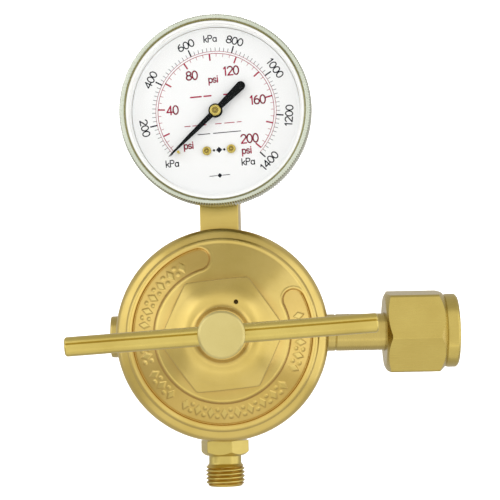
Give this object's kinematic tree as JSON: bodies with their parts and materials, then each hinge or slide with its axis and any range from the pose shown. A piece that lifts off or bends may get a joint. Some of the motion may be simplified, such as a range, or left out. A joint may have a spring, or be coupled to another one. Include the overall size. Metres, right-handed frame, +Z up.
{
  "type": "gas regulator",
  "caption": "Brass gas regulator: round bonnet with T-bar adjusting screw, dial pressure gauge on top, swivel inlet nut at the side, threaded outlet below.",
  "frame": {"origin": "centre of the inlet nut's mouth, on the inlet axis", "axes": "+X out of the inlet nut's mouth, +Z up through the gauge, -Y out of the adjusting screw's front"},
  "size_m": [0.1379, 0.107, 0.1731],
  "materials": {
    "cast_brass": "satin, tumbled",
    "turned_brass": "machined",
    "plated_bezel": "fluted, satin",
    "plain_steel": "drawn",
    "spring_steel": "oiled",
    "black_paint": "semi-matte",
    "dial_white": "matte",
    "lens_clear": "polished",
    "black_rubber": "matte",
    "seat_plastic": "matte"
  },
  "bodies": {
    "regulator": {"body": "cast_brass", "bonnet": "cast_brass", "main_spring": "spring_steel", "diaphragm": "black_rubber", "slip_ring": "turned_brass", "nozzle": "turned_brass", "valve_seat": "seat_plastic", "poppet_spring": "spring_steel", "inlet_nipple": "turned_brass", "inlet_filter": "cast_brass", "outlet_fitting": "turned_brass", "port_plug": "turned_brass", "gauge_socket": "turned_brass", "gauge_case": "cast_brass", "gauge_bezel": "plated_bezel", "lens": "lens_clear", "lens_gasket": "seat_plastic", "dial": "dial_white", "dial_screw_1": "turned_brass", "dial_screw_2": "turned_brass", "stop_pin": "turned_brass", "bourdon_tube": "turned_brass", "hairspring": "spring_steel", "movement_plate_front": "turned_brass", "movement_plate_back": "turned_brass", "movement_pillar_1": "turned_brass", "movement_pillar_2": "turned_brass", "blow_out_plug": "black_rubber"},
    "spring_button": {"spring_button": "plain_steel"},
    "handle": {"adjusting_screw": "turned_brass", "t_bar": "plain_steel"},
    "valve_train": {"diaphragm_plate": "plain_steel", "poppet": "plain_steel"},
    "pointer": {"pointer": "black_paint", "pointer_hub": "turned_brass", "pinion_arbor": "plain_steel"},
    "sector": {"sector_gear": "turned_brass", "sector_arbor": "plain_steel"},
    "link": {"link": "turned_brass"},
    "inlet_nut": {"inlet_nut": "turned_brass"}
  },
  "joints": [
    {"name": "screw_travel", "type": "slide", "parent": "regulator", "child": "spring_button", "axis": [0, 1, 0], "range_m": [0, 0.01017], "deforming": ["main_spring"]},
    {"name": "handle_turn", "type": "hinge", "parent": "spring_button", "child": "handle", "pos_m": [-0.087, -0.078, 0], "axis": [0, 1, 0], "range_deg": [0, 2880]},
    {"name": "valve_lift", "type": "slide", "parent": "regulator", "child": "valve_train", "axis": [0, 1, 0], "range_m": [0, 0.001], "deforming": ["diaphragm", "poppet_spring"]},
    {"name": "pointer_turn", "type": "hinge", "parent": "regulator", "child": "pointer", "pos_m": [-0.087, 0, 0.082], "axis": [0.0785, 0.9969, 0], "range_deg": [0, 267.5], "stiffness_Nm_per_rad": 0.0002, "deforming": ["bourdon_tube", "hairspring"]},
    {"name": "sector_turn", "type": "hinge", "parent": "regulator", "child": "sector", "pos_m": [-0.087, 0, 0.06625], "axis": [0.0785, 0.9969, 0], "range_deg": [-33.5, 0]},
    {"name": "link_turn", "type": "hinge", "parent": "sector", "child": "link", "pos_m": [-0.08654, -0.00004, 0.06127], "axis": [0.0785, 0.9969, 0], "range_deg": [0, 33.5]},
    {"name": "nut_turn", "type": "hinge", "parent": "regulator", "child": "inlet_nut", "pos_m": [-0.01, 0, 0], "axis": [1, 0, 0], "continuous": true}
  ],
  "couplings": [
    {"joint": "screw_travel", "follows": "handle_turn", "m_per_rad": 0.00020213},
    {"joint": "valve_lift", "follows": "handle_turn", "m_per_rad": 0.000019894},
    {"joint": "sector_turn", "follows": "pointer_turn", "ratio": -0.125},
    {"joint": "link_turn", "follows": "pointer_turn", "ratio": 0.125}
  ]
}
